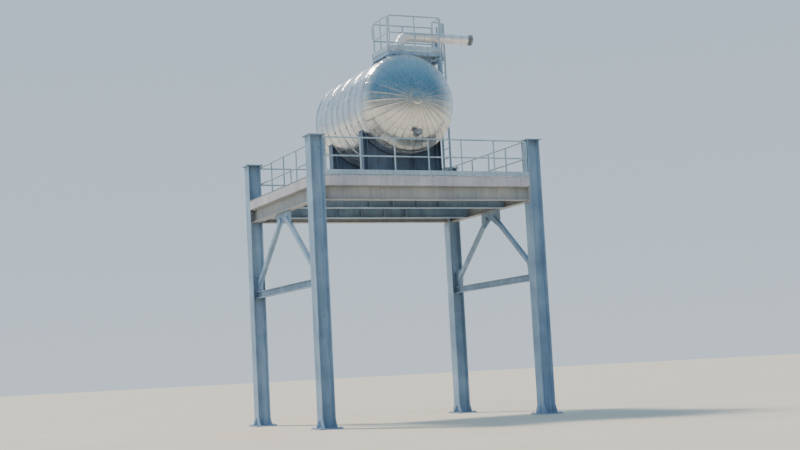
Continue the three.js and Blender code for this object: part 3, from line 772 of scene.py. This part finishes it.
def platform_floor():
    """Grating of the platform and its landing, cut round the outlet and in front of the landing."""
    low, high = corners("platform_floor")
    nozzle = plan_of("outlet_nozzle", *nozzle_gap)
    landing_left = corners("platform_rail_front")[1].x
    landing_front = corners("platform_rail_right")[1].y - rail_edge
    before_landing = ((landing_left, low.y - edge_bar), (high.x + edge_bar, landing_front))
    floor = Shape()
    grating(floor, low, high, platform_grating_depth, [nozzle, before_landing])
    piece("platform_grating", floor, grating_zinc, ["platform_floor"])


deck("front")
deck("rear")
platform_floor()


# Railings: a top and a middle tube joined by round ends, posts with feet, and a toe plate
toe_height = 0.15
toe_thickness = 0.006
toe_gap = 0.012
foot_thickness = 0.01
foot_half_length = 0.05
foot_half_width = 0.024
foot_bolt = 0.011
foot_bolt_reach = 0.037
post_spacing = 1.15
close_spacing = 0.56
post_inset = 0.06
post_drop = 0.03
bay_tolerance = 1e-6
loop_bend = 0.09
landing_bend = 0.07
landing_front_inset = 0.025
landing_right_inset = 0.028
rail_top = up * (rail_height - rail_radius)
rail_middle = up * rail_height / 2


def rounded(points, radius, closed=False, steps=5):
    """A path with its corners rounded off."""
    points = [Vector(point) for point in points]
    count = len(points)
    path = []
    for i, here in enumerate(points):
        if not closed and i in (0, count - 1):
            path.append(here)
            continue
        start = here + (points[i - 1] - here).normalized() * radius
        end = here + (points[(i + 1) % count] - here).normalized() * radius
        for step in range(steps + 1):
            t = step / steps
            path.append((1 - t) ** 2 * start + 2 * t * (1 - t) * here + t * t * end)
    return path


def posts_along(length, spacing):
    """Even places of posts along a railing."""
    between = length - 2 * post_inset
    bays = max(1, math.ceil(between / spacing - bay_tolerance))
    return [post_inset + between * i / bays for i in range(bays + 1)]


def rail_post(shape, foot, along):
    """A tube on a bolted foot plate, whose long side lies along the railing."""
    across = Vector((-along.y, along.x, 0))
    shape.tube([foot, foot + up * (rail_height - post_drop)], rail_radius)
    half = along * foot_half_length + across * foot_half_width
    shape.box(foot - half, foot + half + up * foot_thickness)
    for end in (-1, 1):
        shape.bolt(foot + along * end * foot_bolt_reach + up * foot_thickness, up, foot_bolt)


def toe_plate(shape, start, end, outward):
    """A flat bar on the outward side of the posts, just off the floor."""
    near = start + outward * rail_radius + up * toe_gap
    far = end + outward * (rail_radius + toe_thickness) + up * toe_height
    shape.box(near, far)


def railing(node, outward, spacing=post_spacing):
    """A straight railing with its posts along the inner side of its node."""
    low, high = corners(node)
    line = (low if outward.x + outward.y > 0 else high) + outward * rail_radius
    if outward.x:
        start, end = Vector((line.x, low.y, low.z)), Vector((line.x, high.y, low.z))
    else:
        start, end = Vector((low.x, line.y, low.z)), Vector((high.x, line.y, low.z))
    along = (end - start).normalized()
    near, far = start + along * rail_radius, end - along * rail_radius
    loop = [near + rail_top, far + rail_top, far + rail_middle, near + rail_middle]
    shape = Shape()
    shape.tube(rounded(loop, loop_bend, True), rail_radius, closed=True)
    for place in posts_along((end - start).length, spacing):
        rail_post(shape, start + along * place, along)
    toe_plate(shape, start, end, outward)
    piece(f"{node}_tubes", shape, rail_paint, [node])


def landing_rail():
    """The platform's right railing: a top tube alone over the pipe, then a turn along the landing."""
    low, high = corners("platform_rail_right")
    turn = Vector((low.x + rail_radius, high.y - rail_radius, low.z))
    front = Vector((turn.x, low.y, low.z))
    right = Vector((high.x - rail_radius, turn.y, low.z))
    path = [front + rail_top, turn + rail_top, right + rail_top, right + rail_middle, turn + rail_middle]
    shape = Shape()
    shape.tube(rounded(path, landing_bend), rail_radius)
    rail_post(shape, front + rearward * landing_front_inset, rearward)
    rail_post(shape, turn, rightward)
    rail_post(shape, right - rightward * landing_right_inset, rightward)
    toe_plate(shape, turn, right, -rearward)
    piece("platform_rail_right_tubes", shape, rail_paint, ["platform_rail_right"])


for place in ("deck", "platform"):
    railing(f"{place}_rail_front", -rearward)
    railing(f"{place}_rail_rear", rearward)
railing("deck_rail_left", -rightward)
railing("deck_rail_right", rightward)
railing("platform_rail_left", -rightward, close_spacing)
landing_rail()


# Ladder: flat stringers, round rungs with welds, and arms to the drum and the landing
stringer_depth = 0.065
stringer_thickness = 0.012
rung_radius = 0.012
rung_pitch = 0.3
rung_inset = 0.002
weld = [(0, 0.019), (0.006, 0.013)]
lug_reach = 0.02
lug_thickness = 0.012
arm_half = 0.03
arm_drop = 0.08
arm_bolt = 0.012


def tank_ladder():
    """The ladder with its stringers run on above the landing as handrails."""
    low, high = corners("tank_ladder")
    top = corners("ladder_handrail_front")[1].z
    inner = high.x - stringer_depth
    middle = high.x - stringer_depth / 2
    rungs = [low.z + rung_pitch * i for i in range(1, int((floor_top - low.z) / rung_pitch) + 1)]
    arms = ((drum_middle.x + drum_radius, drum_middle.z),
            (corners("platform_floor")[1].x, floor_top - arm_drop))
    shape = Shape()
    for z in rungs:
        ends = [(middle, low.y + rung_inset, z), (middle, high.y - rung_inset, z)]
        shape.tube(ends, rung_radius, bar_sides)
    for y, inward in ((low.y, 1), (high.y, -1)):
        inside = y + inward * stringer_thickness
        shape.box((inner, y, low.z), (high.x, inside, top))
        shape.box((inner - lug_reach, y, low.z), (inner, inside, low.z + lug_thickness))
        for z in rungs:
            shape.turned(weld, (middle, inside, z), rearward * inward, bar_sides)
        for start_x, z in arms:
            shape.box((start_x, y, z - arm_half), (inner, inside, z + arm_half))
            shape.bolt((inner + lug_reach, y, z), -rearward * inward, arm_bolt)
    handrails = [f"ladder_handrail_{row}" for row in rows]
    piece("tank_ladder_steel", shape, rail_paint, ["tank_ladder", *handrails])


tank_ladder()


# Outlet pipe: mitred jacket round the bend, a jacketed run with straps, and bolted flanges
elbow_low, elbow_high = corners("outlet_elbow")
run_low, run_high = corners("outlet_run")
pipe_line = Vector((drum_middle.x, (run_low.y + run_high.y) / 2, (run_low.z + run_high.z) / 2))
pipe_foot = Vector((pipe_line.x, pipe_line.y, elbow_low.z))
pipe_end = Vector((run_high.x, pipe_line.y, pipe_line.z))
jacket_radius = elbow_high.z - pipe_line.z - 0.006
jacket_foot = 0.06
foot_cone = [(-0.012, 0.125), (0, jacket_radius)]
end_cone = [(0, jacket_radius), (0.012, 0.12)]
sleeve_bead = [(0.008, 0.005), (0.016, 0.007), (0.024, 0.005), (0.032, 0.001)]
sleeve_lap = 0.02
run_sleeves = 3
bend_radius = 0.305
bend_steps = 6
bare_length = 0.16
flange_radius = (run_high.y - run_low.y) / 2
flange_thickness = 0.03
hub = [(flange_thickness, 0.135), (0.075, outlet_neck)]
gasket_radius = 0.14
gasket_half = 0.002
outlet_bolts = (0.145, 8, 0.015)
stud = [(0, 0.012), (0.008, 0.012), (0.01, 0.00975)]
stud_sink = 0.001

# Straps of the pipe: section by (distance along, distance from the jacket), places and buckles
pipe_strap = [(-0.008, -0.002), (0.008, -0.002), (0.008, 0.003), (-0.008, 0.003)]
first_strap = 0.18
strap_pitch = 0.32
pipe_buckle_half = Vector((0.014, 0.02, 0.006))
pipe_buckle_rise = 0.002


def sleeve(shape, start, end):
    """A short length of round jacket with a raised bead at its lap."""
    profile = [(0, jacket_radius), *((along, jacket_radius + out) for along, out in sleeve_bead)]
    profile.append(((end - start).length, jacket_radius))
    shape.turned(profile, start, end - start, pipe_sides)


def outlet_jacket(run_start, run_end):
    """Jacket up from the nozzle, round the bend and along the run, with a cone at each end."""
    shape = Shape()
    foot = pipe_foot + up * jacket_foot
    bend = []
    for i in range(bend_steps + 1):
        angle = math.pi / 2 * i / bend_steps
        bend.append(pipe_line + bend_radius * Vector((1 - math.cos(angle), 0, math.sin(angle) - 1)))
    shape.turned(foot_cone, foot, up, pipe_sides)
    sleeve(shape, foot, bend[0] + up * sleeve_lap)
    for here, there in zip(bend, bend[1:]):
        lap = (there - here).normalized() * sleeve_lap
        sleeve(shape, here - lap, there + lap)
    joints = [run_start.lerp(run_end, i / run_sleeves) for i in range(run_sleeves + 1)]
    for here, there in zip(joints, joints[1:]):
        sleeve(shape, here, there)
    shape.turned(end_cone, run_end, rightward, pipe_sides)
    piece("outlet_jacket", shape, pipe_sheet, ["outlet_elbow", "outlet_run"])


def outlet_straps(run_start, run_end):
    """Thin bands along the run, with their buckles below."""
    shape = Shape()
    section = [(along, jacket_radius + out) for along, out in pipe_strap]
    for i in range(int(((run_end - run_start).length - first_strap) / strap_pitch) + 1):
        place = run_start + rightward * (first_strap + i * strap_pitch)
        shape.ring(section, place, rightward, pipe_sides)
        buckle = place - up * (jacket_radius + pipe_buckle_rise)
        shape.box(buckle - pipe_buckle_half, buckle + pipe_buckle_half)
    piece("outlet_straps", shape, grating_zinc)


def outlet_flanges():
    """A neck flange over the nozzle, and a flanged joint with studs at the end of the run."""
    shape = Shape()
    neck = [(0, flange_radius), (flange_thickness, flange_radius), *hub]
    shape.turned(neck, pipe_foot, up, flange_sides)
    for way in (up, -up):
        shape.bolt_circle(pipe_foot + way * flange_thickness, way, *outlet_bolts)
    near, far = flange_thickness - gasket_half, flange_thickness + gasket_half
    joint = [(0, flange_radius), (near, flange_radius), (near, gasket_radius), (far, gasket_radius),
             (far, flange_radius), (2 * flange_thickness, flange_radius), (2 * flange_thickness, outlet_neck),
             (bare_length, outlet_neck)]
    shape.turned(joint, pipe_end, -rightward, flange_sides)
    shape.bolt_circle(pipe_end - rightward * 2 * flange_thickness, -rightward, *outlet_bolts)
    circle_radius, count, _ = outlet_bolts
    for spoke in spokes(rightward, count, 0.5):
        place = pipe_end + spoke * circle_radius - rightward * stud_sink
        shape.turned(stud, place, rightward, hexagon, False)
    piece("outlet_flanges", shape, flange_steel, ["outlet_elbow", "outlet_run"])


run_start = pipe_line + rightward * bend_radius
run_end = pipe_end - rightward * bare_length
outlet_jacket(run_start, run_end)
outlet_straps(run_start, run_end)
outlet_flanges()


# Bolt circles: radius of the circle, number of bolts and their size
manway_bolts = (0.325, 20, 0.017)
gauge_bolts = (0.078, 4, 0.01)
drain_bolts = (0.118, 8, 0.012)
manway_joint = 0.095
cover_thickness = 0.045
drain_flange = 0.055


def vessel_bolts():
    """Bolts on both sides of the manway's and the drain's flanges, and on the gauge's blank."""
    shape = Shape()
    cover = middle_of("manway_cover")
    rear = corners("manway_cover")[0].y + cover_thickness
    for y, way in ((rear, rearward), (rear - manway_joint, -rearward)):
        shape.bolt_circle((cover.x, y, cover.z), way, *manway_bolts)
    gauge = middle_of("gauge_nozzle")
    gauge.y = corners("gauge_nozzle")[0].y
    shape.bolt_circle(gauge, -rearward, *gauge_bolts)
    drain = middle_of("drain_nozzle")
    drain.z = corners("drain_nozzle")[0].z
    shape.bolt_circle(drain, -up, *drain_bolts)
    shape.bolt_circle(drain + up * drain_flange, up, *drain_bolts)
    piece("vessel_bolts", shape, grating_zinc)


# Bolts of the steel: sizes, and where they lie on the plates
frame_bolt = 0.022
brace_bolt = 0.018
base_bolt = 0.03
saddle_bolt = 0.026
base_reach = 0.29
base_thickness = 0.04
splice_reach = 0.225
splice_thickness = 0.025
end_plate = 0.02
gusset_half = 0.008
saddle_foot = 0.025
saddle_bolt_x = 1.22
saddle_bolt_y = 0.1

# Two columns of bolts on an end plate: half the distance between them, and their heights
girder_pattern = (0.115, (0.05, 0.17, 0.29, 0.39))
side_girder_pattern = (0.07, (0.08, 0.2, 0.32))
strut_pattern = (0.06, (0.025, 0.12, 0.2))

# Bolts of a brace: distances from the ends of its reach, and heights in from its lower and upper edge
brace_places = (0.12, 0.3, 0.5)
brace_shift = 0.02
brace_low, brace_high = 0.07, 0.06


def column_bolts(shape, side, row):
    """Anchor bolts at the foot of a column, and bolts on both sides of its splice plate."""
    place = middle_of(f"column_{side}_{row}")
    low, high = [corner.z for corner in corners(f"column_{side}_{row}")]
    for a in (-1, 1):
        for b in (-1, 1):
            anchor = Vector((place.x + a * base_reach, place.y + b * base_reach, low + base_thickness))
            shape.bolt(anchor, up, base_bolt)
            splice = Vector((place.x + a * splice_reach, place.y + b * splice_reach, high))
            shape.bolt(splice, up, frame_bolt)
            shape.bolt(splice - up * splice_thickness, -up, frame_bolt)


def plate_bolts(shape, foot, way, pattern, size):
    """Bolts on an end plate that faces a level way, from the middle of its lower edge."""
    beside = up.cross(way)
    half, heights = pattern
    for side in (-1, 1):
        for height in heights:
            shape.bolt(foot + beside * side * half + up * height, way, size)


def end_plate_bolts(shape, side, row):
    """Bolts through the end plates of the girders and the strut that meet one column."""
    outward_x = rightward if side == "right" else -rightward
    outward_y = rearward if row == "rear" else -rearward
    place = middle_of(f"column_{side}_{row}")
    low, high = corners(f"girder_{row}")
    foot = Vector((0, place.y, low.z)) + outward_x * (high.x - end_plate)
    plate_bolts(shape, foot, -outward_x, girder_pattern, frame_bolt)
    for beam, pattern, size in (("side_girder", side_girder_pattern, frame_bolt),
                                ("side_strut", strut_pattern, brace_bolt)):
        low, high = corners(f"{beam}_{side}")
        foot = Vector((place.x, 0, low.z)) + outward_y * (high.y - end_plate)
        plate_bolts(shape, foot, -outward_y, pattern, size)


def brace_bolts(shape, side, row):
    """Bolts at both ends of a brace, on both sides of its gussets."""
    low, high = corners(f"brace_{side}_{row}")
    near, far = (low.y, high.y) if row == "rear" else (high.y, low.y)
    outward = math.copysign(1, far - near)
    middle_x = (low.x + high.x) / 2
    for place in brace_places:
        for way in (-rightward, rightward):
            x = middle_x + way.x * gusset_half
            shape.bolt((x, far - outward * place, low.z + brace_low), way, brace_bolt)
            shape.bolt((x, near + outward * (place + brace_shift), high.z - brace_high), way, brace_bolt)


def saddle_bolts(shape, row):
    """Four bolts through the foot of a saddle."""
    low, high = corners(f"saddle_{row}")
    centre = (low + high) / 2
    for x in (-saddle_bolt_x, saddle_bolt_x):
        for y in (-saddle_bolt_y, saddle_bolt_y):
            shape.bolt((centre.x + x, centre.y + y, low.z + saddle_foot), up, saddle_bolt)


def steel_bolts():
    """All the bolts of the stand as one piece."""
    shape = Shape()
    for row in rows:
        for side in sides:
            column_bolts(shape, side, row)
            end_plate_bolts(shape, side, row)
            brace_bolts(shape, side, row)
        saddle_bolts(shape, row)
    piece("steel_bolts", shape, grating_zinc)


vessel_bolts()
steel_bolts()


# Floor, light and camera
floor_reach = 400
floor_colours = [(0.3, (0.74, 0.63, 0.48)), (0.7, (0.78, 0.68, 0.54))]

# Colours by height above the horizon: what the camera sees, and what lights and is mirrored
backdrop = [(0.0, (0.72, 0.84, 0.94)), (0.5, (0.48, 0.66, 0.86))]
rear_sky = [(0.0, (0.76, 0.90, 1.0)), (0.3, (0.52, 0.72, 0.95)), (0.7, (0.20, 0.42, 0.68))]
front_sky = [(0.0, (0.50, 0.46, 0.38)), (0.13, (0.36, 0.39, 0.38)), (0.22, (0.12, 0.28, 0.40)),
             (0.32, (0.01, 0.15, 0.35)), (0.55, (0.03, 0.22, 0.44)), (0.8, (0.11, 0.34, 0.60))]
rear_sky_end, front_sky_start = 0.1, -0.5
sky_strength = 0.95

# Camera: its place and what it looks at, focal length in mm, roll, and how far it sees
eye = Vector((-17.25, -38.8, 1.5))
target = Vector((0.3, 0, 6.0))
focal_length = 62
roll = math.radians(-3.0)
farthest = 1000


def staged(name, data):
    """An object of the scene that isn't part of the drum or its stand."""
    made = bpy.data.objects.new(name, data)
    bpy.context.scene.collection.objects.link(made)
    return made


def ground():
    """A plain pale floor, a little warm, as far as the eye reaches."""
    square = [(-floor_reach, -floor_reach, 0), (floor_reach, -floor_reach, 0),
              (floor_reach, floor_reach, 0), (-floor_reach, floor_reach, 0)]
    mesh = bpy.data.meshes.new("floor")
    mesh.from_pydata(square, [], [(0, 1, 2, 3)])
    finish = Finish("floor", 0.8)
    finish.colour(finish.ramp(finish.noise(0.25, 3.0), floor_colours))
    mesh.materials.append(finish.material)
    staged("floor", mesh)


def sky():
    """A plain pale backdrop, and light from a blue sky with a warm haze low down in front of the drum."""
    world = bpy.data.worlds.new("studio")
    bpy.context.scene.world = world
    world.use_nodes = True
    nodes = Nodes(world.node_tree)
    split = nodes.new("SeparateXYZ")
    nodes.feed(split.inputs[0], nodes.new("TexCoord").outputs["Generated"])
    turn = nodes.new("MapRange")
    nodes.feed(turn.inputs["From Min"], rear_sky_end)
    nodes.feed(turn.inputs["From Max"], front_sky_start)
    nodes.feed(turn.inputs["Value"], split.outputs["Y"])
    seen, behind, ahead = [nodes.ramp(split.outputs["Z"], stops) for stops in (backdrop, rear_sky, front_sky)]
    around = nodes.mix(turn.outputs[0], behind, ahead)
    by_camera = nodes.new("LightPath").outputs["Is Camera Ray"]
    background = world.node_tree.nodes["Background"]
    nodes.feed(background.inputs["Color"], nodes.mix(by_camera, around, seen))
    nodes.feed(background.inputs["Strength"], sky_strength)


def sunlight(name, way, strength, spread, colour, mirrored=True):
    """Light that goes one way, spread over an angle in degrees."""
    light = bpy.data.lights.new(name, "SUN")
    light.angle = math.radians(spread)
    light.energy = strength
    light.color = colour
    holder = staged(name, light)
    holder.rotation_euler = Vector(way).to_track_quat("-Z", "Y").to_euler()
    holder.visible_glossy = mirrored


def camera():
    """The camera at the photograph's viewing angle, with its slight lean."""
    lens = bpy.data.cameras.new("camera")
    lens.lens = focal_length
    lens.clip_end = farthest
    holder = staged("camera", lens)
    holder.location = eye
    holder.rotation_mode = "QUATERNION"
    holder.rotation_quaternion = (target - eye).to_track_quat("-Z", "Y") @ Quaternion((0, 0, 1), roll)
    bpy.context.scene.camera = holder


ground()
sky()
sunlight("key_light", way=(0.35, -0.75, -1.0), strength=4.3, spread=10, colour=(1.0, 0.90, 0.77))
sunlight("fill_light", way=(0.7, 0.9, -0.5), strength=1.5, spread=60, colour=(0.86, 0.93, 1.0),
         mirrored=False)
camera()
